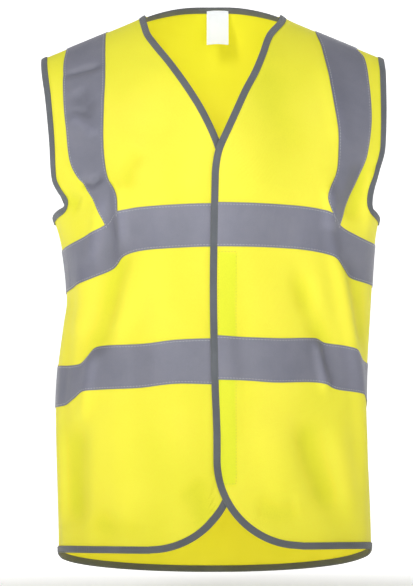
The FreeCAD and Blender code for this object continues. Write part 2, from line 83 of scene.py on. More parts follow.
def window(x, low, high, soft):
    """1 between low and high and 0 outside them, with soft ends."""
    return step(x, low - soft, low + soft) * (1 - step(x, high - soft, high + soft))


def metres(table):
    """A table of numbers in millimetres, turned into metres."""
    if isinstance(table, dict):
        return {key: metres(rows) for key, rows in table.items()}
    if isinstance(table, (list, tuple)):
        return type(table)(metres(row) for row in table)
    return table / 1000


def unit(vectors):
    """The same directions, each of length one."""
    return vectors / np.maximum(np.linalg.norm(vectors, axis=-1, keepdims=True), 1e-12)


# ---------------- the body that the vest hangs on

EDGE_WRAP = 0.0007                # how far the armhole bindings of the frame stand out past the cloth
armhole_ends = [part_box("left_armhole_binding_front")[1].x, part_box("right_armhole_binding_front")[0].x]
SHOULDER_HALF = (armhole_ends[0] - armhole_ends[1]) / 2 - EDGE_WRAP
SHOULDER_DROP = 0.051
NECK_HALF, NECK_RISE, BACK_NECK_RISE = 0.080, 0.068, 0.020
SHOULDER_ROUND, SHOULDER_POWER = 0.235, 1.6
CHEST_LINE, UNDERARM = -0.200, -0.240
# Half width and half depth of the form, by height.
HALF_WIDTH = [(-0.630, 0.182), (-0.345, 0.179), (-0.275, 0.184), (UNDERARM, 0.192), (-0.200, 0.210),
              (-0.150, 0.231), (-0.050, 0.255)]
HALF_DEPTH = [(-0.630, 0.113), (-0.260, 0.120)]
# How far each side stands out from, or falls inside, that regular form.
SIDE_SHAPE = {
    LEFT: [(-0.630, 0.003), (-0.460, 0.000), (-0.330, 0.007), (-0.270, 0.006), (-0.215, 0.002),
           (-0.180, 0.0)],
    RIGHT: [(-0.630, -0.002), (-0.461, 0.004), (-0.413, 0.002), (-0.364, -0.004), (-0.335, -0.008),
            (-0.245, -0.005), (-0.200, 0.0)],
}
# How far the left front lies off the right one, and between which distances that fades out.
OVERLAP_LIFT, LIFT_FULL, LIFT_NONE = 0.0044, 0.044, 0.112
RIDGE_BEND, BEND_SHARPNESS, UNDER_RIDGE = 0.016, 0.006, 0.00002


def ridge(x):
    """Height of the line along which front and back meet over the shoulders."""
    outside = SHOULDER_DROP / (SHOULDER_HALF - NECK_HALF)
    inside = NECK_RISE / NECK_HALF
    rounded = np.hypot(x, RIDGE_BEND) - math.hypot(NECK_HALF, RIDGE_BEND) + NECK_HALF
    lift = BEND_SHARPNESS * np.log1p(np.exp((NECK_HALF - rounded) / BEND_SHARPNESS))
    return -outside * (rounded - NECK_HALF) + (inside - outside) * lift


def form(angle, z, face):
    """Point of the form at an angle round it, 0 at the centre and 90 degrees at the seams, and a height."""
    x = smooth(HALF_WIDTH, z) * np.sin(angle)
    side = np.where(angle > 0, smooth(SIDE_SHAPE[LEFT], z), smooth(SIDE_SHAPE[RIGHT], z))
    share = np.clip((ridge(x) - z) / SHOULDER_ROUND, 0, 1)
    rounding = (1 - (1 - share) ** SHOULDER_POWER) ** (1 / SHOULDER_POWER)
    y = face * smooth(HALF_DEPTH, z) * np.cos(angle) * rounding
    x = x + np.sign(angle) * side * np.abs(np.sin(angle)) ** 3
    return np.stack([x, y, z], -1)


def angle_at(x, z):
    return np.arcsin(np.clip(x / smooth(HALF_WIDTH, z), -1, 1))


# ---------------- folds of the cloth

# Soft folds, in millimetres: a line of (x, z) points, its half width, and its height, below zero for
# a hollow.
FOLDS = metres({
    "right": [
        ([(-100, -262), (-112, -320), (-124, -372), (-146, -410)], 13, -4.2),
        ([(-80, -290), (-98, -350), (-118, -385)], 14, 2.6),
        ([(-150, -300), (-146, -345), (-160, -385)], 12, 2.8),
        ([(-138, -392), (-144, -440), (-150, -480)], 8, 3.4),
        ([(-156, -470), (-158, -540), (-156, -600)], 14, -4),
        ([(-176, -480), (-174, -545), (-176, -600)], 9, 3),
        ([(-122, -450), (-110, -520), (-95, -590)], 30, 2.6),
        ([(-30, -545), (-12, -572), (0, -590)], 18, -3),
        ([(-140, -585), (-110, -600), (-75, -604)], 14, -2.2),
        ([(-118, -236), (-114, -270), (-124, -302)], 9, -2.6),
        ([(-108, -200), (-106, -240), (-104, -290)], 7, 3),
        ([(-130, -218), (-132, -255), (-140, -300)], 9, 3),
        ([(-176, -75), (-150, -69), (-128, -64)], 5, -2.6),
        ([(-160, -92), (-146, -112), (-150, -130)], 10, -2.2),
        ([(-132, -150), (-150, -136), (-166, -122)], 7, 1.8),
        ([(-155, -204), (-140, -206), (-124, -196)], 5, -2.6),
        ([(-150, -228), (-166, -222), (-180, -225)], 10, -3),
        ([(-100, -215), (-96, -190), (-80, -165)], 10, -2),
        ([(-60, -60), (-75, -100), (-80, -150)], 26, 1.8),
    ],
    "left": [
        ([(132, -236), (143, -300), (154, -360), (166, -420), (173, -500), (176, -600)], 8.5, 4.6),
        ([(157, -275), (168, -340), (178, -400)], 10, -4),
        ([(92, -300), (108, -345), (124, -386), (136, -440)], 12, -4.2),
        ([(120, -300), (120, -340), (112, -375)], 13, 2),
        ([(118, -380), (124, -415), (130, -446)], 6, 4),
        ([(97, -470), (116, -530), (138, -582)], 15, -4),
        ([(136, -470), (152, -540), (162, -600)], 13, 3),
        ([(60, -470), (74, -530), (92, -585)], 22, 2.2),
        ([(44, -572), (74, -578), (100, -574)], 16, -2.6),
        ([(138, -240), (142, -276), (150, -310)], 9, -2),
        ([(130, -205), (136, -235), (134, -262)], 8, 3),
        ([(124, -48), (140, -110), (146, -170)], 12, 2.2),
        ([(178, -170), (165, -215), (158, -250)], 12, -3.6),
        ([(184, -180), (182, -215), (178, -262)], 8, 2.6),
        ([(66, -60), (84, -120), (100, -190)], 26, -1.6),
        ([(28, -300), (33, -430), (34, -520)], 10, -1.2),
    ],
    "back": [
        ([(120, -230), (128, -330), (120, -430), (132, -600)], 22, 4.8),
        ([(70, -260), (78, -380), (70, -500), (84, -640)], 18, -4.2),
        ([(10, -280), (16, -420), (4, -560), (10, -650)], 26, 3.6),
        ([(-60, -230), (-68, -360), (-60, -500), (-74, -640)], 18, -4.6),
        ([(-118, -260), (-126, -380), (-120, -500), (-130, -620)], 20, 4.8),
        ([(150, -280), (160, -380), (154, -500)], 12, -3.6),
        ([(-154, -300), (-160, -420), (-156, -560)], 12, -3.6),
        ([(-100, -100), (-30, -140), (40, -138), (104, -96)], 22, -2.8),
        ([(-130, -160), (-60, -190), (50, -192), (128, -158)], 24, 2.4),
        ([(176, -200), (140, -240), (110, -300)], 14, 3),
        ([(-176, -200), (-142, -236), (-112, -290)], 14, 3),
    ],
})
FULLNESS = 1.35                   # by how much every fold is made fuller
FOLD_ENDS = 0.15                  # roughly the share of a fold's height that is left at its ends
NAMES = {"left": LEFT, "right": RIGHT}
FACE = {"left": FRONT, "right": FRONT, "back": BACK}
# Fine ripples all over: layer, how they lean, phase and size.
RIPPLE_HEIGHT, RIPPLE_COUNT = 0.00022, 14
waves = np.random.default_rng(7)
RIPPLES = [(layer, *waves.normal(0, 1, 2), waves.uniform(0, 2 * math.pi), waves.uniform(0.6, 1.0))
           for layer in FACE for _ in range(RIPPLE_COUNT)]


def away(points, x, z):
    """Distance from a line of points, and how far along it, from 0 to 1, the nearest point is."""
    best = np.full(np.shape(x), 9.0)
    along = np.zeros(np.shape(x))
    last = len(points) - 1
    for k, ((ax, az), (bx, bz)) in enumerate(zip(points, points[1:])):
        dx, dz = bx - ax, bz - az
        t = np.clip(((x - ax) * dx + (z - az) * dz) / (dx * dx + dz * dz), 0, 1)
        gap = np.hypot(x - ax - t * dx, z - az - t * dz)
        along = np.where(gap < best, (k + t) / last, along)
        best = np.minimum(gap, best)
    return best, along


def outward(surface, angle, z, turn, rise, face):
    """Outward normal of a surface, from points a small turn and a small rise either side."""
    ahead = surface(angle + turn, z) - surface(angle - turn, z)
    up = surface(angle, z + rise) - surface(angle, z - rise)
    return unit(np.cross(ahead, up) * -face)


def relief(layer, x, z, angle):
    """How far the cloth stands off the form."""
    total = np.zeros(np.shape(x))
    for points, width, height in FOLDS[layer]:
        gap, along = away(points, x, z)
        ends = step(along, -0.02, 0.25) * step(1 - along, -0.02, 0.25)
        total += FULLNESS * height * np.exp(-((gap / width) ** 2)) * (FOLD_ENDS + (1 - FOLD_ENDS) * ends)
    across = angle * 0.15
    for name, kx, kz, phase, size in RIPPLES:
        if name == layer:
            lean = across * (55 + 26 * kx) * 1.6 + z * (14 + 22 * kz)
            total += RIPPLE_HEIGHT * size * np.sin(lean + phase)
    fade = step(np.cos(angle), 0.0, 0.35) * step(ridge(x) - z, 0.0, 0.05)
    return total * fade


def cloth(layer, angle, z, off=0.0):
    """Point of the cloth, off its middle by a distance along its outward normal."""
    angle, z = np.broadcast_arrays(np.asarray(angle, float), np.asarray(z, float))
    face = FACE[layer]

    def surface(a, h):
        h = np.minimum(h, ridge(smooth(HALF_WIDTH, h) * np.sin(a)) - UNDER_RIDGE)
        p = form(a, h, face)
        n = outward(lambda b, g: form(b, g, face), a, h, 0.002, 0.0006, face)
        p = p + n * relief(layer, p[..., 0], h, a)[..., None]
        if layer == "left":
            p[..., 1] -= OVERLAP_LIFT * (1 - step(p[..., 0], LIFT_FULL, LIFT_NONE))
        return p

    p = surface(angle, z)
    if np.ndim(off) == 0 and off == 0.0:
        return p
    return p + outward(surface, angle, z, 0.004, 0.0008, face) * np.asarray(off)[..., None]


# ---------------- outlines of the pieces

HEM_SIDE = {LEFT: -0.628, RIGHT: -0.632}
HEM_FRONT = {LEFT: -0.6215, RIGHT: -0.6260}
HEM_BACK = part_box("back_hem_binding")[0].z + 0.001
CORNER = 0.100                    # radius of the fronts' lower corners
# Distance from the centre of each front's free edge and neck edge, and of each armhole, by height.
EDGE = {
    "left": [(-0.500, 0.001), (-0.440, -0.001), (-0.330, -0.003), (-0.205, -0.001), (-0.188, 0.000),
             (-0.169, 0.004), (-0.148, 0.013), (-0.123, 0.024), (-0.100, 0.034), (-0.076, 0.046),
             (-0.054, 0.0545), (-0.029, 0.063), (0.000, NECK_HALF)],
    "right": [(-0.240, -0.027), (-0.205, -0.018), (-0.165, -0.0085), (-0.128, 0.0075), (-0.099, 0.024),
              (-0.067, 0.045), (-0.029, 0.0715), (-0.012, 0.0775), (0.000, NECK_HALF)],
}
ARMHOLE = {
    LEFT: [(-0.236, 0.182), (-0.228, 0.1795), (-0.210, 0.183), (-0.186, 0.193), (-0.160, 0.200),
           (-0.070, 0.203), (-SHOULDER_DROP, SHOULDER_HALF)],
    RIGHT: [(-0.236, 0.179), (-0.228, 0.1755), (-0.213, 0.180), (-0.198, 0.186), (-0.153, 0.1895),
            (-0.103, 0.195), (-SHOULDER_DROP, SHOULDER_HALF)],
}
# Shares of the way from the shoulder down to the chest line: where an armhole's foot turns to the
# side seam, and where the rows next to the ridge stop.
TURN = 0.994
NEAR_RIDGE = 0.006
CORNER_SHARE = 0.22               # of the way from the hem to the chest line, with rows close together
NARROW, EDGE_COLUMNS = 0.012, 6   # angle that a row's last columns span at an armhole, and how many
# Passes of the loops that close in on a point by halves.
PLACE_PASSES, MEET_PASSES, START_PASSES = 26, 34, 40


def hem(angle, face):
    """Height of the lower edge."""
    side = np.where(angle > 0, HEM_SIDE[LEFT], HEM_SIDE[RIGHT])
    c = np.maximum(np.cos(angle), 0.0)
    if face == FRONT:
        middle = np.where(angle > 0, HEM_FRONT[LEFT], HEM_FRONT[RIGHT])
        return side + (middle - side) * c ** 0.5
    middle = (HEM_SIDE[LEFT] + HEM_SIDE[RIGHT]) / 2
    level = middle + (HEM_SIDE[LEFT] - HEM_SIDE[RIGHT]) / 2 * np.sin(angle)
    return level + (HEM_BACK - level) * c ** 0.85


def chest_line(angle):
    """Height at which the body's rows end and the yoke's begin."""
    return CHEST_LINE + (UNDERARM - CHEST_LINE) * (1 - np.cos(angle)) ** 0.4


def free_edge(layer, z):
    """Distance of a front's free edge and neck edge from the centre, positive towards its own side."""
    above = z - HEM_FRONT[NAMES[layer]]
    inside = np.clip(CORNER - above, 0, CORNER)
    return smooth(EDGE[layer], z) + CORNER - np.sqrt(np.maximum(CORNER**2 - inside**2, 0))


def place(angle, share):
    """Height at an angle, on a level of the yoke: share is 0 at the ridge and 1 at the chest line."""
    z = chest_line(angle)
    for _ in range(PLACE_PASSES):
        x = smooth(HALF_WIDTH, z) * np.sin(angle)
        z = (z + ridge(x) - (ridge(x) - chest_line(angle)) * share ** SHOULDER_POWER) / 2
    return z


def meet(edge, share):
    """Angles at which levels of the yoke meet an edge that is given by height."""
    angle = np.full(np.shape(share), 0.4)
    for _ in range(MEET_PASSES):
        z = place(angle, share)
        angle = (angle + angle_at(edge(z), z)) / 2
    return angle


def armhole_angle(side, share):
    """Angle at which the yoke's rows end, at the armhole and then, at its foot, at the side seam."""
    angle = meet(lambda z: smooth(ARMHOLE[side], z), np.minimum(share, TURN))
    return angle + (SEAM - angle) * np.maximum((share - TURN) / (1 - TURN), 0) ** 2.4


def yoke_shares():
    """Levels of the yoke's rows, from the chest line up, close together at the armhole's foot."""
    return np.concatenate([np.linspace(1.0, TURN, 9)[1:], np.linspace(TURN - 0.012, NEAR_RIDGE, 58)])


def body_shares():
    """Levels of the body's rows, from the hem up, close together in the fronts' corners."""
    low = CORNER_SHARE * (1 - np.cos(np.linspace(0, math.pi / 2, 26)))
    return np.concatenate([low, np.linspace(CORNER_SHARE, 1.0, 62)[1:]])


def columns_between(start, edge, end, count):
    """Angles of one row: even as far as the armhole's angle, and then a few columns on to the row's end."""
    return np.concatenate([np.linspace(start, edge, count - EDGE_COLUMNS),
                           np.linspace(edge, end, EDGE_COLUMNS + 1)[1:]])


def turn_edge(start, turn, share, count):
    """Where a body row's even columns end: at the armhole's angle at the top, wholly even lower down."""
    even = start + (SEAM - start) * (count - EDGE_COLUMNS - 1) / (count - 1)
    part = step(share, 0.45, 1.0)
    return even + (turn - NARROW - even) * part


def front_grid(layer, columns=72):
    """Angles and heights of a front, row by row from the hem to the shoulder."""
    side = NAMES[layer]
    turn = armhole_angle(side, TURN)
    rows = []
    low, high = body_shares(), yoke_shares()
    start = np.full(len(low), 0.2)
    for _ in range(START_PASSES):
        z = hem(side * start, FRONT) * (1 - low) + chest_line(start) * low
        start = (start + angle_at(free_edge(layer, z), z)) / 2
    for share, first in zip(low, start):
        a = columns_between(first, turn_edge(first, turn, share, columns), SEAM, columns)
        rows.append((side * a, hem(side * a, FRONT) * (1 - share) + chest_line(a) * share))
    start = meet(lambda z: free_edge(layer, z), high)
    ends, edges = armhole_angle(side, high), armhole_angle(side, np.minimum(high, TURN)) - NARROW
    for share, first, edge, end in zip(high, start, edges, ends):
        a = columns_between(first, edge, end, columns)
        rows.append((side * a, place(a, share)))
    return np.array(rows).transpose(1, 0, 2)


def neck_back(x):
    """Top edge of the back: the back neck edge between the neck points, then the shoulders."""
    return np.where(np.abs(x) < NECK_HALF, BACK_NECK_RISE * (1 - (x / NECK_HALF) ** 2), ridge(x))


def back_grid(columns=66):
    """The back's rows are two halves, each laid out from the centre to its own side."""
    rows = []
    turns = [armhole_angle(side, TURN) for side in (LEFT, RIGHT)]
    for share in body_shares():
        left, right = (columns_between(0, turn_edge(0, turn, share, columns), SEAM, columns)
                       for turn in turns)
        a = np.concatenate([-right[:0:-1], left])
        rows.append((a, hem(a, BACK) * (1 - share) + chest_line(a) * share))
    high = yoke_shares()
    edges = [armhole_angle(side, np.minimum(high, TURN)) - NARROW for side in (LEFT, RIGHT)]
    ends = [armhole_angle(side, high) for side in (LEFT, RIGHT)]
    for k, share in enumerate(high):
        left, right = (columns_between(0, edge[k], end[k], columns) for edge, end in zip(edges, ends))
        a = np.concatenate([-right[:0:-1], left])
        z = place(np.abs(a), share)
        for _ in range(6):
            x = smooth(HALF_WIDTH, z) * np.sin(a)
            cut = np.maximum(ridge(x) - neck_back(x), 0) / (ridge(x) - chest_line(a))
            start = np.maximum(cut ** (1 / SHOULDER_POWER), NEAR_RIDGE)
            z = place(np.abs(a), start + (1 - start) * (share - NEAR_RIDGE) / (1 - NEAR_RIDGE))
        rows.append((a, z))
    return np.array(rows).transpose(1, 0, 2)


# ---------------- meshes

def volume(points, faces):
    """Six times the volume inside closed faces, below zero when they are inside out."""
    total = 0.0
    points = np.asarray(points, float)
    for corners in ([f for f in faces if len(f) == n] for n in sorted({len(f) for f in faces})):
        p = points[np.array(corners)]
        for k in range(1, p.shape[1] - 1):
            total += np.einsum("ij,ij->", p[:, 0], np.cross(p[:, k], p[:, k + 1]))
    return total


def make_mesh(name, points, faces, uvs=None, sharp=60, closed=True):
    if closed and volume(points, faces) < 0:
        faces = [face[::-1] for face in faces]
    mesh = bpy.data.meshes.new(name)
    mesh.from_pydata([tuple(p) for p in points], [], faces)
    mesh.validate()
    if uvs is not None:
        layer = mesh.uv_layers.new(name="UVMap")
        index = np.zeros(len(mesh.loops), np.int32)
        mesh.loops.foreach_get("vertex_index", index)
        layer.data.foreach_set("uv", np.asarray(uvs, np.float32)[index].ravel())
    mesh.polygons.foreach_set("use_smooth", np.ones(len(mesh.polygons), bool))
    mesh.set_sharp_from_angle(angle=math.radians(sharp))
    obj = bpy.data.objects.new(name, mesh)
    bpy.context.scene.collection.objects.link(obj)
    return obj


def slab(name, top, bottom):
    """A closed sheet between two grids of points of the same shape, smooth on each of its faces."""
    rows, columns = top.shape[:2]
    count = rows * columns
    points = np.concatenate([top.reshape(-1, 3), bottom.reshape(-1, 3)])
    k = np.arange(count).reshape(rows, columns)
    a, b, c, d = k[:-1, :-1], k[:-1, 1:], k[1:, 1:], k[1:, :-1]
    faces = np.stack([a, b, c, d], -1).reshape(-1, 4)
    under = np.stack([a, d, c, b], -1).reshape(-1, 4) + count
    rim = np.concatenate([k[0, :], k[1:, -1], k[-1, -2::-1], k[-2:0:-1, 0]])
    after = np.roll(rim, -1)
    sides = np.stack([rim, rim + count, after + count, after], -1)
    everything = np.concatenate([faces, under, sides]).tolist()
    made = make_mesh(name, points, everything, np.concatenate([grid_uv(top).reshape(-1, 2)] * 2))
    out = unit((top - bottom).reshape(-1, 3))
    made.data.normals_split_custom_set_from_vertices(np.concatenate([out, -out]).tolist())
    return made


def lengths(points):
    """Length along a line of points, at each of them."""
    gap = np.linalg.norm(np.diff(points, axis=0), axis=1)
    return np.concatenate([[0], np.cumsum(gap)])


def grid_uv(points):
    """Texture places in metres along the rows and columns of a grid."""
    rows, columns = points.shape[:2]
    middle = columns // 2
    up = lengths(points[:, middle])
    uv = np.zeros((rows, columns, 2))
    for r in range(rows):
        run = lengths(points[r])
        uv[r, :, 0] = run - run[middle]
        uv[r, :, 1] = up[r]
    return uv


def vertex_xz(obj):
    """X and Z of each vertex."""
    co = np.zeros(len(obj.data.vertices) * 3)
    obj.data.vertices.foreach_get("co", co)
    return co.reshape(-1, 3)[:, 0], co.reshape(-1, 3)[:, 2]


def mark(obj, name, values):
    """Keep a number on each vertex, for a material to read."""
    obj.data.attributes.new(name, "FLOAT", "POINT").data.foreach_set("value", values.astype(np.float32))


# Painted fold shade: the mark of flat cloth, and the fold depth at which the painted shade is full.
FLAT_MARK, FULL_DEPTH = 0.22, 0.0095


def note_hollows(obj, layer):
    """Keep on each vertex how deep in a fold it lies, from 0 to 1, with FLAT_MARK for flat cloth; materials
    read it for painted shade in the hollows and a painted highlight on the ridges.
    """
    x, z = vertex_xz(obj)
    mark(obj, "hollow", np.clip(FLAT_MARK - relief(layer, x, z, angle_at(x, z)) / FULL_DEPTH, 0, 1))


# ---------------- tapes

# Distances off the middle of the cloth.
CLOTH_HALF = 0.0003
TAPE_LOW, TAPE_HIGH, BRACE_HIGH = 0.0006, 0.0011, 0.0013


def tape(name, layer, angle, z):
    made = slab(name, cloth(layer, angle, z, TAPE_HIGH), cloth(layer, angle, z, TAPE_LOW))
    note_hollows(made, layer)
    return made


def band_line(level, layer, x, edge):
    """Height of the upper or lower edge of a band on a front, by the distance from the centre."""
    return smooth(BANDS[level, layer][edge], x)


# Edges of the bands on the fronts, in millimetres: height by distance from the centre.
BANDS = metres({
    ("upper", "right"): {
        "top": [(0, -232), (77, -235), (103, -239), (110, -242), (122, -253), (130, -258), (150, -266),
                (176, -275), (190, -279)],
        "bottom": [(0, -281), (60, -283), (90, -286), (108, -292), (120, -304), (145, -314), (171, -323),
                   (190, -328)]},
    ("upper", "left"): {
        "top": [(0, -231), (83, -233), (120, -237), (132, -243), (144, -255), (162, -264), (176, -269),
                (195, -272)],
        "bottom": [(0, -281), (92, -282.5), (128, -287), (139, -292), (150, -306), (164, -314),
                   (195, -320)]},
    ("lower", "right"): {
        "top": [(0, -384.5), (43, -386), (77, -390), (128, -392), (138, -395), (144, -406), (153, -412.5),
                (185, -413)],
        "bottom": [(0, -436), (43, -435.5), (83, -440), (131, -442), (145, -444), (156, -452), (167, -459),
                   (185, -461.5)]},
    ("lower", "left"): {
        "top": [(0, -381), (35, -383), (75, -384), (117, -383.5), (128, -388), (158, -394), (168, -406),
                (185, -411)],
        "bottom": [(0, -431), (39, -432), (68, -434), (122, -434), (140, -441), (168, -446), (176, -454),
                   (185, -459)]},
})
BACK_BAND = {"upper": (-0.257, 0.040), "lower": (-0.408, 0.029)}    # height at the centre, drop to the sides
LEVELS = {"upper": -0.27, "lower": -0.42}
TAPE_HALF = 0.025
BAND_ROWS, FRONT_COLUMNS, BACK_COLUMNS = 15, 84, 150
BAND_START = {"left": 0.004, "right": -0.012}


def front_band(level, layer):
    """Angles and heights of a band on a front, from near the free edge to the side seam."""
    side = NAMES[layer]
    start = float(angle_at(BAND_START[layer], LEVELS[level]))
    a = np.linspace(start, SEAM, FRONT_COLUMNS)
    x = smooth(HALF_WIDTH, LEVELS[level]) * np.sin(a)
    top, bottom = (band_line(level, layer, x, e) for e in ("top", "bottom"))
    share = np.linspace(0, 1, BAND_ROWS)[:, None]
    return side * a[None, :] + share * 0, bottom[None, :] * (1 - share) + top[None, :] * share


def back_band(level):
    """Angles and heights of a band on the back, which meets the front ones at the side seams."""
    a = np.linspace(-SEAM, SEAM, BACK_COLUMNS)
    middle, drop = BACK_BAND[level]
    z = middle - drop * (1 - np.cos(a))
    ends = {}
    for layer, side in NAMES.items():
        line = BANDS[level, layer]
        ends[side] = (line["top"][-1][1] + line["bottom"][-1][1]) / 2 - (middle - drop)
    z = z + np.where(a > 0, ends[LEFT], ends[RIGHT]) * np.abs(np.sin(a)) ** 6
    share = np.linspace(-TAPE_HALF, TAPE_HALF, BAND_ROWS)[:, None]
    return a[None, :] + share * 0, z[None, :] + share


# Edges of the braces, in millimetres: distance from the centre by height.
BRACES = metres({
    ("left", "inner"): [(-250, 135), (-226, 129), (-217, 129.5), (-196, 140), (-180, 143), (-147, 143),
                        (-109, 138), (-75, 133), (-39, 127), (-17, 121)],
    ("left", "outer"): [(-262, 142), (-250, 144.5), (-225, 155), (-201, 168), (-182, 176), (-149, 182),
                        (-122, 184), (-83, 182), (-52, 178), (-36, 169)],
    ("right", "inner"): [(-250, 108), (-227, 107.5), (-216, 110), (-202, 119), (-183, 123), (-157, 125),
                         (-112, 125), (-82, 124.5), (-17, 126)],
    ("right", "outer"): [(-262, 124), (-240, 130), (-226, 136), (-191, 159), (-174, 165), (-141, 169),
                         (-105, 173), (-60, 174.5), (-36, 172)],
    ("back", "inner"): [(-240, 116), (-190, 126), (-110, 129), (-20, 123)],
    ("back", "outer"): [(-250, 160), (-190, 171), (-110, 175), (-36, 171)],
})
INNER_TOP, OUTER_TOP = -0.017, -0.036    # heights at which a brace's edges cross the shoulder
BACK_FOOT, FOOT_WIDTH = 0.112, 0.036     # inner edge and width of a brace's foot on the back
TUCK = 0.004                             # how far a brace's foot lies over the band below it


def brace_half(layer, side):
    """Angles and heights of half a brace, from the upper band up to the shoulder."""
    inner, outer = BRACES[layer, "inner"], BRACES[layer, "outer"]
    across = np.linspace(0, 1, 13)[:, None]
    run = 1 - (1 - np.linspace(0, 1, 74)[None, :]) ** 1.7
    top_x = smooth(inner, INNER_TOP) * (1 - across) + smooth(outer, OUTER_TOP) * across
    high = ridge(top_x) - 0.0001
    if layer == "back":
        middle, drop = BACK_BAND["upper"]
        foot_x = BACK_FOOT + across * FOOT_WIDTH
        low = middle + TAPE_HALF - drop * (1 - np.cos(angle_at(foot_x, LEVELS["upper"]))) - TUCK
    else:
        foot_x = inner[0][1] * (1 - across) + outer[0][1] * across
        low = band_line("upper", layer, foot_x, "top") - TUCK
    z = low + (high - low) * run
    x = smooth(inner, z) * (1 - across) + smooth(outer, z) * across
    return side * angle_at(x, z), z


def brace(name):
    """One length of tape from the front upper band over the shoulder to the back one."""
    side = NAMES[name]
    faces = []
    for off in (BRACE_HIGH, TAPE_LOW):
        front, back = (cloth(layer, *brace_half(layer, side), off) for layer in (name, "back"))
        seam = (front[:, -1:] + back[:, -1:]) / 2
        faces.append(np.concatenate([front[:, :-1], seam, back[:, -2::-1]], 1)[::side])
    made = slab("%s_brace_tape" % name, *faces)
    note_hollows(made, name)
    return made


# ---------------- edge bindings

BIND, BINDING_STEP = 0.0075, 0.003       # width of a folded binding, and distance between its rings
# Its section, folded over the cloth: distance in from the edge, and distance off the cloth.
OUTSIDE = [(BIND, 0.0010), (BIND * 0.97, 0.0014), (BIND * 0.6, 0.0017), (BIND * 0.25, 0.0017),
           (0.0004, 0.0013), (-0.0004, 0.0007), (-0.0006, 0.0)]
INSIDE = [(BIND * 0.9, -0.0005), (0.0010, -0.0005), (0.0010, 0.0005), (BIND * 0.9, 0.0005)]
PROFILE = OUTSIDE + [(inward_by, -off) for inward_by, off in OUTSIDE[-2::-1]] + INSIDE


def dense(angle, z, layer):
    """The same path in even steps."""
    run = lengths(cloth(layer, angle, z))
    at = np.linspace(0, run[-1], max(int(run[-1] / BINDING_STEP), 4))
    return np.interp(at, run, angle), np.interp(at, run, z)


def inward(layer, angle, z, turn):
    """Steps of angle and height that lead one metre in from an edge, square to it."""
    e = 0.0005
    ja = (cloth(layer, angle + e, z) - cloth(layer, angle - e, z)) / (2 * e)
    jz = (cloth(layer, angle, z + e) - cloth(layer, angle, z - e)) / (2 * e)
    points = cloth(layer, angle, z)
    along = np.gradient(points, axis=0)
    normal = np.cross(ja, jz)
    go = turn * unit(np.cross(along, normal))
    a, b, c = (ja * ja).sum(-1), (ja * jz).sum(-1), (jz * jz).sum(-1)
    p, q = (go * ja).sum(-1), (go * jz).sum(-1)
    scale = np.maximum(a * c - b * b, 1e-9)
    return (c * p - b * q) / scale, (a * q - b * p) / scale


def soften(values):
    """The same values, evened out along the line."""
    values = np.array(values, float)
    for _ in range(3):
        values[1:-1] = (values[:-2] + 2 * values[1:-1] + values[2:]) / 4
    return values


def edge_line(layer, angle, z, turn):
    """An edge in even steps, with the steps of angle and height that lead in from it."""
    angle, z = dense(angle, z, layer)
    da, dz = inward(layer, angle, z, turn)
    return angle, z, soften(da), soften(dz)


def binding(name, layer, *edge):
    """A folded edge binding along a path, wrapped round the edge of the cloth."""
    angle, z, da, dz = edge_line(layer, *edge)
    rings = np.stack([cloth(layer, angle + da * d, z + dz * d, h) for d, h in PROFILE], 1)
    steps, around = rings.shape[:2]
    k = np.arange(steps * around).reshape(steps, around)
    nxt = np.roll(k, -1, axis=1)
    faces = np.stack([k[:-1], k[1:], nxt[1:], nxt[:-1]], -1).reshape(-1, 4).tolist()
    faces += [list(map(int, k[0])), list(map(int, k[-1][::-1]))]
    run = lengths(rings[:, 0])
    uv = np.zeros((steps, around, 2))
    uv[..., 0] = run[:, None]
    uv[..., 1] = np.linspace(0, 0.03, around)[None, :]
    return make_mesh(name, rings.reshape(-1, 3), faces, uv.reshape(-1, 2), 50)


# ---------------- stitches

STITCH, GAP, THREAD = 0.0024, 0.0012, 0.00024    # length, space between, and radius of the thread
SIDES = 6
# Sections of one stitch: place as a share of its length, thickness, and height in radii of the thread.
SECTIONS = [(-0.5, 0.45, -1.1), (-0.32, 1.0, 0.0), (0.32, 1.0, 0.0), (0.5, 0.45, -1.1)]
# Distances of the rows of stitches off the middle of the cloth, and in from the edge: in metres on
# a band and a binding, as a share of the width on a brace.
BAND_THREAD, BRACE_THREAD, BINDING_THREAD, TACK_THREAD = 0.00125, 0.00145, 0.00175, 0.0019
BAND_INSET, BRACE_INSET, BINDING_ROW = 0.0022, 0.045, BIND * 0.86


def on_line(at, run, values):
    """Values at a length along a line."""
    return np.array([np.interp(at, run, values[:, c]) for c in range(3)])


def stitch_mesh(name, runs):
    """Rows of stitches along runs of points, each run with its outward normals."""
    ring = np.linspace(0, 2 * math.pi, SIDES, endpoint=False)
    last = (len(SECTIONS) - 1) * SIDES
    one = [[s + j, s + (j + 1) % SIDES, s + SIDES + (j + 1) % SIDES, s + SIDES + j]
           for s in range(0, last, SIDES) for j in range(SIDES)]
    one += [list(range(SIDES))[::-1], list(range(last, last + SIDES))]
    points, faces = [], []
    for line, normals in runs:
        run = lengths(line)
        for k in range(int(run[-1] / (STITCH + GAP))):
            at = (k + 0.5) * (STITCH + GAP)
            start, end = (on_line(at + s * STITCH / 2, run, line) for s in (-1, 1))
            along = unit(end - start)
            side = unit(np.cross(along, on_line(at, run, normals)))
            out = np.cross(side, along)
            faces += [[len(points) * SIDES + j for j in face] for face in one]
            for share, size, height in SECTIONS:
                centre = (start + end) / 2 + along * share * STITCH + out * height * THREAD
                circle = np.cos(ring)[:, None] * side + np.sin(ring)[:, None] * out
                points.append(centre + THREAD * size * circle)
    return make_mesh(name, np.concatenate(points), faces)


def stitch_run(layer, angle, z, off):
    """Points of a row of stitches, with their outward normals."""
    points = cloth(layer, angle, z, off)
    return points, unit(cloth(layer, angle, z, off + 0.001) - points)


def edge_run(layer, angle, z, turn, distance, off):
    """A row of stitches at a distance inside an edge."""
    angle, z, da, dz = edge_line(layer, angle, z, turn)
    return stitch_run(layer, angle + da * distance, z + dz * distance, off)


# ---------------- materials

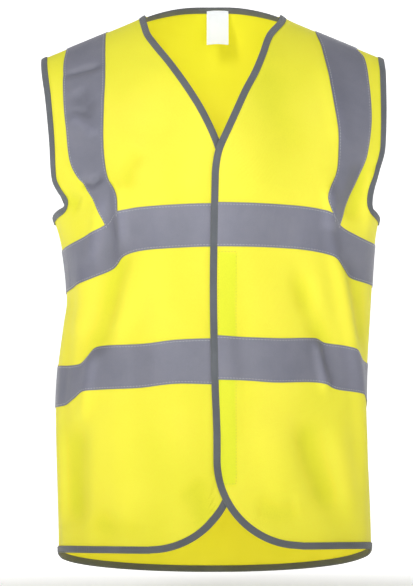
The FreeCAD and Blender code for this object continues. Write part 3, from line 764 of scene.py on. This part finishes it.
def new_material(name, color, rough, **sockets):
    mat = bpy.data.materials.new(name)
    mat.use_nodes = True
    tree = mat.node_tree
    shader = tree.nodes["Principled BSDF"]
    shader.inputs["Base Color"].default_value = (*color, 1)
    shader.inputs["Roughness"].default_value = rough
    for key, value in sockets.items():
        shader.inputs[key.replace("_", " ")].default_value = value
    return mat, tree, shader


def node(tree, kind, **settings):
    made = tree.nodes.new(kind)
    for key, value in settings.items():
        if key in made.inputs:
            made.inputs[key].default_value = value
        else:
            setattr(made, key, value)
    return made


def from_object(tree, kind, **settings):
    """A node that works on places in the object, in metres."""
    made = node(tree, kind, **settings)
    tree.links.new(tree.nodes.new("ShaderNodeTexCoord").outputs["Object"], made.inputs[0])
    return made


def on_piece(tree, kind, across, up, **settings):
    """A texture on a piece's own UV map, in metres, with so many of its units across and up a metre."""
    made = node(tree, kind, Scale=1.0, **settings)
    mapping = node(tree, "ShaderNodeMapping", Scale=(across, up, 1))
    tree.links.new(node(tree, "ShaderNodeUVMap", uv_map="UVMap").outputs["UV"], mapping.inputs["Vector"])
    tree.links.new(mapping.outputs["Vector"], made.inputs["Vector"])
    return made


def ribs(tree, direction, units, distortion, detail=2.0):
    """Ribs that follow one another along a direction of the piece's map."""
    made = on_piece(tree, "ShaderNodeTexWave", units, units, wave_type="BANDS", bands_direction=direction,
                    Distortion=distortion, Detail=detail)
    return made.outputs["Fac"]


def cells(tree, across, up):
    return on_piece(tree, "ShaderNodeTexVoronoi", across, up).outputs["Distance"]


def cloud(tree, scale, detail, roughness=0.5):
    made = from_object(tree, "ShaderNodeTexNoise", Scale=scale, Detail=detail, Roughness=roughness)
    return made.outputs["Fac"]


def spread(tree, value, low, high, first=0.0, last=1.0, kind="LINEAR"):
    """A value between low and high as a number between first and last."""
    made = node(tree, "ShaderNodeMapRange", interpolation_type=kind,
                **{"From Min": low, "From Max": high, "To Min": first, "To Max": last})
    tree.links.new(value, made.inputs["Value"])
    return made.outputs["Result"]


def ramp(tree, value, *stops):
    made = tree.nodes.new("ShaderNodeValToRGB")
    elements = made.color_ramp.elements
    while len(elements) < len(stops):
        elements.new(0.5)
    for element, (at, color) in zip(elements, stops):
        element.position = at
        element.color = (*color, 1)
    tree.links.new(value, made.inputs["Fac"])
    return made.outputs["Color"]


def grey(value):
    return value, value, value


def multiply(tree, a, b, factor=1.0):
    made = node(tree, "ShaderNodeMix", data_type="RGBA", blend_type="MULTIPLY")
    for value, key in ((factor, 0), (a, 6), (b, 7)):
        if hasattr(value, "links"):
            tree.links.new(value, made.inputs[key])
        else:
            made.inputs[key].default_value = value
    return made.outputs[2]


def painted_fold_shade(tree, color, fold_shade_color):
    """The same colour with painted shade in the hollows of folds, and a slight painted highlight on their
    ridges.
    """
    depth = node(tree, "ShaderNodeAttribute", attribute_name="hollow").outputs["Fac"]
    shade = ramp(tree, depth, (0.0, (1.03, 1.03, 1.06)), (FLAT_MARK, grey(1)), (1.0, fold_shade_color))
    return multiply(tree, color, shade)


def bump(tree, shader, *heights):
    """Bump from several heights, each with its depth in metres."""
    last = None
    for value, depth in heights:
        made = node(tree, "ShaderNodeBump", Strength=1.0, Distance=depth)
        tree.links.new(value, made.inputs["Height"])
        if last is not None:
            tree.links.new(last, made.inputs["Normal"])
        last = made.outputs["Normal"]
    tree.links.new(last, shader.inputs["Normal"])


def knit(name, strip=False, glow=0.13):
    """Fluorescent warp knit: fine ribs one way, finer stitches the other, and a painted glow in place of its
    fluorescence.
    """
    mat, tree, shader = new_material(name, (0.86, 0.84, 0.03), 0.64, Sheen_Weight=0.04, Sheen_Roughness=0.5,
                                     Emission_Strength=glow)
    wales = ribs(tree, "X", 330, 0.6, 1.0)
    loops = ribs(tree, "Y", 250, 1.2, 1.0)
    holes = cells(tree, 1150, 850)
    # Painted shade: the knit is darker and greener from the upper chest to the shoulders.
    height = from_object(tree, "ShaderNodeSeparateXYZ").outputs["Z"]
    level = spread(tree, height, -0.66, 0.02)
    color = ramp(tree, level, (0.0, (0.96, 0.88, 0.046)), (0.55, (0.96, 0.88, 0.048)),
                 (0.80, (0.95, 0.88, 0.056)), (1.0, (0.90, 0.85, 0.026)))
    shades = [(cloud(tree, 9.0, 3.0, 0.55), (0.95, 0.97, 0.80), 0.32, 0.55, (1.0, 0.98, 1.10), 0.75, 1.0),
              (holes, (0.90, 0.92, 0.84), 0.0, 0.5, grey(1), 1.0, 0.8),
              (wales, (0.955, 0.965, 0.90), 0.0, 0.6, grey(1), 1.0, 1.0)]
    for value, low, at, plain, high, top, factor in shades:
        shade = ramp(tree, value, (at, low), (plain, grey(1)), (top, high))
        color = multiply(tree, color, shade, factor)
    if strip:
        lies = node(tree, "ShaderNodeAttribute", attribute_name="strip").outputs["Fac"]
        color = multiply(tree, color, (0.87, 0.98, 0.50, 1), lies)
    # Painted shade in the hollows of folds, deeper and greener, with a slight painted highlight on the
    # ridges.
    color = painted_fold_shade(tree, color, (0.80, 0.85, 0.26))
    tree.links.new(color, shader.inputs["Base Color"])
    # Painted glow: the knit's colour also lights it as emission.
    tree.links.new(color, shader.inputs["Emission Color"])
    bump(tree, shader, (wales, 0.00016), (loops, 0.0001), (holes, 0.00008))
    return mat


def tape_material():
    """Glass-bead retroreflective tape: satin grey with a fine painted sparkle of glints on the beads,
    painted shade in its folds, and a faint cross weave.
    """
    mat, tree, shader = new_material("reflective_tape", (0.25, 0.25, 0.31), 0.50, Metallic=0.15,
                                     Sheen_Weight=0.25, Sheen_Roughness=0.35)
    beads = cells(tree, 2600, 2600)
    creases = on_piece(tree, "ShaderNodeTexNoise", 60, 9, Detail=2.0).outputs["Fac"]
    base = ramp(tree, cloud(tree, 14.0, 4.0, 0.6), (0.30, (0.205, 0.210, 0.262)),
                (0.55, (0.240, 0.243, 0.298)), (0.78, (0.275, 0.276, 0.322)))
    # Painted glints: the centre of each bead is lighter.
    painted_sparkle = ramp(tree, beads, (0.0, (1.10, 1.10, 1.12)), (0.55, grey(0.97)), (1.0, grey(0.90)))
    # Painted shade in the hollows of the tape's folds, with a slight painted highlight on the ridges.
    color = painted_fold_shade(tree, multiply(tree, base, painted_sparkle), grey(0.72))
    tree.links.new(color, shader.inputs["Base Color"])
    bump(tree, shader, (ribs(tree, "X", 420, 0.3), 0.00005), (ribs(tree, "Y", 420, 0.3), 0.00005),
         (beads, 0.00004), (creases, 0.0006))
    return mat


def binding_material():
    """Grey folded binding tape with a fine rib across it."""
    mat, tree, shader = new_material("edge_binding", (0.12, 0.125, 0.125), 0.82, Sheen_Weight=0.3,
                                     Sheen_Roughness=0.5)
    rows = ribs(tree, "X", 260, 0.4, 1.0)
    base = ramp(tree, cloud(tree, 30.0, 4.0), (0.3, (0.118, 0.130, 0.146)), (0.7, (0.152, 0.165, 0.184)))
    shade = ramp(tree, rows, (0.0, grey(0.80)), (0.6, grey(1.03)), (1.0, grey(1.1)))
    tree.links.new(multiply(tree, base, shade), shader.inputs["Base Color"])
    bump(tree, shader, (rows, 0.0002), (ribs(tree, "Y", 480, 0.8), 0.0001))
    return mat


def thread_material(name, color):
    mat, tree, shader = new_material(name, color, 0.6, Sheen_Weight=0.3)
    fibre = cloud(tree, 2600.0, 2.0)
    dark = tuple(c * 0.82 for c in color)
    tree.links.new(ramp(tree, fibre, (0.3, dark), (0.7, color)), shader.inputs["Base Color"])
    bump(tree, shader, (fibre, 0.00005))
    return mat


def pile_material(name, color, count):
    """Hook or loop tape: a dense pile of short threads."""
    mat, tree, shader = new_material(name, color, 0.85, Sheen_Weight=0.5)
    pile = cells(tree, count, count)
    dark = tuple(c * 0.72 for c in color)
    tree.links.new(ramp(tree, pile, (0.0, color), (0.7, dark)), shader.inputs["Base Color"])
    bump(tree, shader, (pile, 0.0006))
    return mat


def label_material():
    # The white ribbon has a faint bluish painted glow.
    mat, tree, shader = new_material("label_ribbon", (0.86, 0.88, 0.92), 0.55, Sheen_Weight=0.2,
                                     Emission_Color=(0.85, 0.9, 1, 1), Emission_Strength=0.20)
    weave = ribs(tree, "Y", 500, 0.2)
    tree.links.new(ramp(tree, weave, (0.0, (0.84, 0.87, 0.93)), (1.0, (0.88, 0.91, 0.97))),
                   shader.inputs["Base Color"])
    bump(tree, shader, (weave, 0.00005))
    return mat


def floor_material():
    """Pale floor and backdrop that grow brighter with distance from the vest."""
    mat, tree, shader = new_material("studio_floor", (0.93, 0.93, 0.93), 0.9)
    pale = ramp(tree, cloud(tree, 3.0, 2.0), (0.3, grey(0.92)), (0.7, grey(0.94)))
    reach = from_object(tree, "ShaderNodeVectorMath", operation="LENGTH").outputs["Value"]
    tree.links.new(pale, shader.inputs["Base Color"])
    tree.links.new(pale, shader.inputs["Emission Color"])
    glow = spread(tree, reach, 0.71, 1.25, 0.10, 0.80, "SMOOTHSTEP")
    tree.links.new(glow, shader.inputs["Emission Strength"])
    return mat


# Each knit has a painted glow; the back's is stronger, painted light in place of light that passes through
# the cloth to its inside.
fabric = {"left": knit("fluorescent_knit_left", strip=True), "right": knit("fluorescent_knit"),
          "back": knit("fluorescent_knit_back", glow=0.20)}
reflective = tape_material()
bound = binding_material()
white_thread = thread_material("white_thread", (0.62, 0.62, 0.66))
grey_thread = thread_material("grey_thread", (0.20, 0.205, 0.205))
yellow_thread = thread_material("yellow_thread", (0.80, 0.80, 0.05))
hook_pile = pile_material("hook_tape", (0.80, 0.84, 0.09), 900)
loop_pile = pile_material("loop_tape", (0.86, 0.88, 0.10), 1500)
ribbon = label_material()


# ---------------- finishing the pieces


def across_fold(obj):
    """Bake the placement of a piece that crosses its front's fold line into its mesh."""
    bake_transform(obj)


def finish_piece(obj, material, replaced=(), body="root", fold=None):
    """Give a piece its material and slot, hide the CAD parts it replaces, and attach it to its body, or, for
    a piece that crosses a front's fold line, bake its placement instead.
    """
    obj.data.materials.append(material)
    if replaced:
        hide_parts(*replaced)
    if fold:
        across_fold(obj)
    else:
        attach(obj, body)


on_panel = {layer: [] for layer in FACE}


def lay(obj, layer, material, replaced=(), folds=False):
    """Finish a piece that is sewn to a panel."""
    finish_piece(obj, material, replaced, fold=layer if folds else None)
    on_panel[layer].append(obj)


def flip(grid, layer):
    """Grids run so that their outward side is their top side."""
    return grid if layer == "left" else grid[:, ::-1]


# ---------------- the cloth panels

grids = {"left": front_grid("left"), "right": front_grid("right"), "back": back_grid()}
panels = {}
for layer, (a, z) in grids.items():
    outer, inner = (flip(cloth(layer, a, z, off), layer) for off in (CLOTH_HALF, -CLOTH_HALF))
    panels[layer] = slab("back_cloth" if layer == "back" else "%s_front_cloth" % layer, outer, inner)
    note_hollows(panels[layer], layer)

# Where the hook strip on the inside shows through the left front: from, to and softness, in X and Z.
SHADE_X, SHADE_Z = (0.005, 0.0265, 0.001), (-0.550, -0.287, 0.002)
x, z = vertex_xz(panels["left"])
mark(panels["left"], "strip", window(x, *SHADE_X) * window(z, *SHADE_Z))

finish_piece(panels["back"], fabric["back"], ["back_panel"])
for layer in NAMES:
    finish_piece(panels[layer], fabric[layer],
                 ["%s_front_side" % layer, "%s_front_flap" % layer], fold=layer)


# ---------------- tapes on the panels

stitch_rows = {layer: [] for layer in FACE}
for level in LEVELS:
    for layer in FACE:
        if layer == "back":
            a, z = back_band(level)
            replaced = ["%s_band_back" % level]
        else:
            a, z = front_band(level, layer)
            replaced = ["%s_band_%s_side" % (level, layer), "%s_band_%s_flap" % (level, layer)]
        a, z = flip(a, layer), flip(z, layer)
        lay(tape("%s_%s_band_tape" % (level, layer), layer, a, z), layer, reflective,
            replaced, folds=layer != "back")
        for line in (z[0] + BAND_INSET, z[-1] - BAND_INSET):
            stitch_rows[layer].append(stitch_run(layer, a[0], line, BAND_THREAD))

for name, side in NAMES.items():
    lay(brace(name), "back", reflective, ["%s_brace_front" % name, "%s_brace_back" % name])
    for layer in (name, "back"):
        a, z = brace_half(layer, side)
        for share in (BRACE_INSET, 1 - BRACE_INSET):
            line_a = a[0] * (1 - share) + a[-1] * share
            line_z = z[0] * (1 - share) + z[-1] * share
            stitch_rows[layer].append(stitch_run(layer, line_a[:-2], line_z[:-2], BRACE_THREAD))


# ---------------- bindings on the panels

binding_rows = {layer: [] for layer in FACE}


def bind(name, layer, angle, z, turn, replaced, folds=False):
    """A binding along an edge of a panel, and its row of stitches."""
    lay(binding(name, layer, angle, z, turn), layer, bound, replaced, folds)
    binding_rows[layer].append(edge_run(layer, angle, z, turn, BINDING_ROW, BINDING_THREAD))


yoke = len(body_shares()) - 1
back_a, back_z = grids["back"]
for layer, side in NAMES.items():
    a, z = grids[layer]
    # Hem from the side seam to the corner, then up the free edge and the neckline.
    bind("%s_front_binding" % layer, layer, np.concatenate([a[0, :0:-1], a[:, 0]]),
         np.concatenate([z[0, :0:-1], z[:, 0]]), side,
         ["%s_front_edge_binding" % layer, "%s_neck_binding" % layer, "%s_hem_binding" % layer], folds=True)
    bind("%s_armhole_front_binding" % layer, layer, a[yoke:, -1], z[yoke:, -1], -side,
         ["%s_armhole_binding_front" % layer])
    column = -1 if side == LEFT else 0
    bind("%s_armhole_back_binding" % layer, "back", back_a[yoke:, column], back_z[yoke:, column], -side,
         ["%s_armhole_binding_back" % layer])

bind("back_hem_edge_binding", "back", back_a[0], back_z[0], -1, ["back_hem_binding"])
# The neck binding runs a little past the neck points, towards the fronts' bindings.
NECK_PAST = 0.0025
x = np.linspace(-NECK_HALF - NECK_PAST, NECK_HALF + NECK_PAST, 80)
bind("back_neck_edge_binding", "back", angle_at(x, neck_back(x)), neck_back(x), 1, ["back_neck_binding"])

# A dense bar of stitches locks the end of the right front's hem binding.
TACK_START, TACK_END, TACK_Z = -0.156, -0.139, -0.63
x = np.linspace(TACK_START, TACK_END, 12)
a = angle_at(x, np.full(12, TACK_Z))
for distance in (0.0012, 0.0026, 0.0040, 0.0054, 0.0068):
    binding_rows["right"].append(edge_run("right", a, hem(a, FRONT), -1, distance, TACK_THREAD))

for layer in FACE:
    lay(stitch_mesh("%s_tape_stitches" % layer, stitch_rows[layer]), layer, white_thread,
        folds=layer != "back")
    lay(stitch_mesh("%s_binding_stitches" % layer, binding_rows[layer]), layer, grey_thread,
        folds=layer != "back")


# ---------------- hook and loop strips

STRIP_START, STRIP_WIDTH = 0.006, 0.020
STRIP_NEAR, STRIP_FAR = 0.0004, 0.0012    # faces of a strip, off the middle of the cloth


def strip_piece(name, layer, near, far, material, replaced, body):
    """A strip beside a free edge, as tall as its CAD node, and the angles and heights round it."""
    low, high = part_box(replaced)
    z = np.linspace(low.z, high.z, 80)[:, None] + np.zeros((1, 9))
    a = angle_at(np.linspace(STRIP_START, STRIP_START + STRIP_WIDTH, 9)[None, :] + z * 0, z)
    finish_piece(slab(name, cloth(layer, a, z, far), cloth(layer, a, z, near)), material,
                 [replaced], body)
    return [np.concatenate([grid[0], grid[:, -1], grid[-1, ::-1], grid[::-1, 0]]) for grid in (a, z)]


around = strip_piece("hook_tape", "left", -STRIP_FAR, -STRIP_NEAR, hook_pile, "hook_strip", "left_flap")
finish_piece(stitch_mesh("strip_stitches", [stitch_run("left", *around, STRIP_NEAR)]), yellow_thread,
             body="left_flap")
strip_piece("loop_tape", "right", STRIP_NEAR, STRIP_FAR, loop_pile, "loop_strip", "right_flap")


# ---------------- seams and labels

ALLOWANCE = 0.0085                # how far a seam allowance stands in from its seam


def seam_ribbon(name, outer, inner, replaced):
    """An overlocked seam allowance: a thin ribbon that stands in from a seam."""
    half = np.array([0, 0.0007, 0])
    wave = 0.0006 * np.sin(np.arange(len(outer)) * 0.9)[:, None] * np.array([0, 1.0, 0])
    steps = np.linspace(0, 1, 4)[None, :, None]
    grid = outer[:, None] * (1 - steps) + inner[:, None] * steps + wave[:, None] * steps
    finish_piece(slab(name, grid + half, grid - half), fabric["right"], [replaced])


for name, side in NAMES.items():
    z = np.linspace(HEM_SIDE[side] + 0.012, UNDERARM - 0.014, 90)
    line = cloth(name, side * SEAM + z * 0, z)
    seam_ribbon("%s_side_seam_allowance" % name, line + np.array([-side * 0.0012, 0, 0]),
                line + np.array([-side * ALLOWANCE, 0.002, 0]), "%s_side_seam" % name)
    x = np.linspace(NECK_HALF + 0.010, SHOULDER_HALF - 0.010, 50)
    line = np.stack([side * x, x * 0, ridge(x)], -1)
    seam_ribbon("%s_shoulder_seam_allowance" % name, line - np.array([0, 0, 0.0016]),
                line - np.array([0, -0.001, ALLOWANCE]), "%s_shoulder_seam" % name)


def shares(rows, columns):
    """How far up and across the points of a grid are, from 0 to 1."""
    return np.linspace(0, 1, rows)[:, None], np.linspace(0, 1, columns)[None, :]


def label(name, x, y, z, thickness):
    """A ribbon label, thick by a vector from its face, that flips with its own body."""
    face = np.stack(np.broadcast_arrays(x, y, z), -1)
    finish_piece(slab("%s_ribbon" % name, face, face + thickness), ribbon, [name], name)


low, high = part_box("neck_label")
v, u = shares(30, 14)
curl = 0.030 * np.clip(v - 0.55, 0, 1) ** 1.5 + 0.0014 * np.cos(u * math.pi * 2) * (1 - v)
label("neck_label", low.x + (high.x - low.x) * u, (low.y + high.y) / 2 + curl,
      low.z + (high.z + 0.004 - low.z) * v + 0.0008 * np.sin(u * 3.0), np.array([0, 0.0004, 0]))

low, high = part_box("care_label")
v, u = shares(40, 12)
label("care_label", high.x - 0.0003 - (high.x - low.x) * u + 0.0012 * np.sin(v * 5.0) * u,
      low.y + (high.y - low.y) * u, low.z + (high.z - low.z) * v, np.array([0.0006, 0, 0]))


# ---------------- studio

# The floor curves up into a backdrop far behind the vest.
FLOOR_Z, FLOOR_HALF, BACKDROP_Y, BACKDROP_TOP, CURVE = -0.70, 14.0, 11.0, 12.0, 2.0
bend = np.linspace(0.1, math.pi / 2, 14)
foot = BACKDROP_Y - CURVE
sweep_y = np.concatenate([[-FLOOR_HALF, foot], foot + CURVE * np.sin(bend), [BACKDROP_Y]])
sweep_z = np.concatenate([[FLOOR_Z, FLOOR_Z], FLOOR_Z + CURVE - CURVE * np.cos(bend), [BACKDROP_TOP]])
sweep = np.stack(np.broadcast_arrays(np.array([-FLOOR_HALF, FLOOR_HALF])[:, None], sweep_y, sweep_z), -1)
count = len(sweep_y)
sweep_faces = [[k, count + k, count + k + 1, k + 1] for k in range(count - 1)]
floor = make_mesh("studio_floor", sweep.reshape(-1, 3), sweep_faces, closed=False)
floor.data.materials.append(floor_material())

# The surround is seen as plain white, and lights the vest only softly.
SURROUND = 0.14
world = bpy.data.worlds.new("studio")
world.use_nodes = True
tree = world.node_tree
soft = tree.nodes["Background"]
soft.inputs["Color"].default_value = (1, 1, 1, 1)
soft.inputs["Strength"].default_value = SURROUND
seen = node(tree, "ShaderNodeBackground", Color=(1, 1, 1, 1), Strength=1.0)
which = tree.nodes.new("ShaderNodeMixShader")
tree.links.new(tree.nodes.new("ShaderNodeLightPath").outputs["Is Camera Ray"], which.inputs[0])
tree.links.new(soft.outputs[0], which.inputs[1])
tree.links.new(seen.outputs[0], which.inputs[2])
tree.links.new(which.outputs[0], tree.nodes["World Output"].inputs["Surface"])
bpy.context.scene.world = world

# Lights: place, the point that it faces, width and height, and power.
LIGHTS = {
    "key": ((-0.85, -2.6, 0.75), (0, 0, -0.3), (0.6, 0.8), 32),
    "fill": ((0.6, -2.8, -0.1), (0, 0, -0.35), (0.9, 1.1), 11),
    "top": ((0.0, 0.4, 2.2), (0, 0, -0.3), (1.6, 1.2), 9),
    "rear": ((0.6, 2.4, 0.8), (0, 0, -0.3), (1.6, 1.6), 12),
}
for name, (at, target, size, power) in LIGHTS.items():
    light = bpy.data.lights.new(name, "AREA")
    light.shape = "RECTANGLE"
    light.size, light.size_y = size
    light.energy = power
    lamp = bpy.data.objects.new(name, light)
    bpy.context.scene.collection.objects.link(lamp)
    lamp.location = at
    lamp.rotation_euler = (Vector(target) - Vector(at)).to_track_quat("-Z", "Y").to_euler()

# The camera stands about where the photograph was taken from, and looks slightly up.
camera_data = bpy.data.cameras.new("camera")
camera_data.sensor_width = 36
camera_data.lens = 146.93
camera = bpy.data.objects.new("camera", camera_data)
bpy.context.scene.collection.objects.link(camera)
camera.location = (-0.0073, -2.811, -0.481)
camera.rotation_euler = (math.radians(90 + 3.14), 0, 0)
bpy.context.scene.camera = camera
bpy.context.scene.view_settings.view_transform = "Standard"
bpy.context.scene.view_settings.look = "None"
